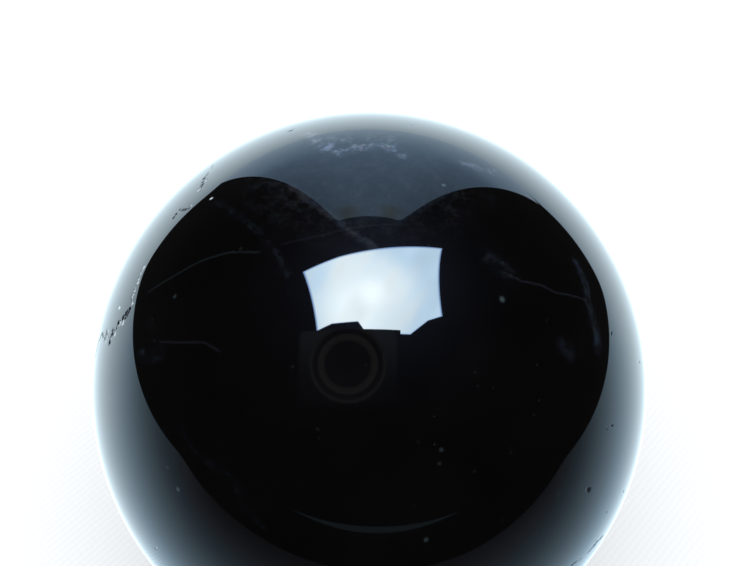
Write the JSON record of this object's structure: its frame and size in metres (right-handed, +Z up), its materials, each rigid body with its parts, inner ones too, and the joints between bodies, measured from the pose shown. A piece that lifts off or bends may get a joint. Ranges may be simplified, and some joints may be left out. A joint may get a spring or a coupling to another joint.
{
  "type": "polished stone ball",
  "caption": "Solid polished ball of near-black smoky quartz with pale healed veils, fine specks and an old chipped crack; loose, with no stand.",
  "frame": {"origin": "centre of the ball", "axes": "+Z up from the surface that the ball lies on, -Y towards the side with the chipped crack on its left, +X to the right of that side"},
  "size_m": [0.076, 0.076, 0.076],
  "materials": {
    "smoky_quartz": "polished"
  },
  "bodies": {
    "root": {"ball": "smoky_quartz"}
  },
  "joints": []
}
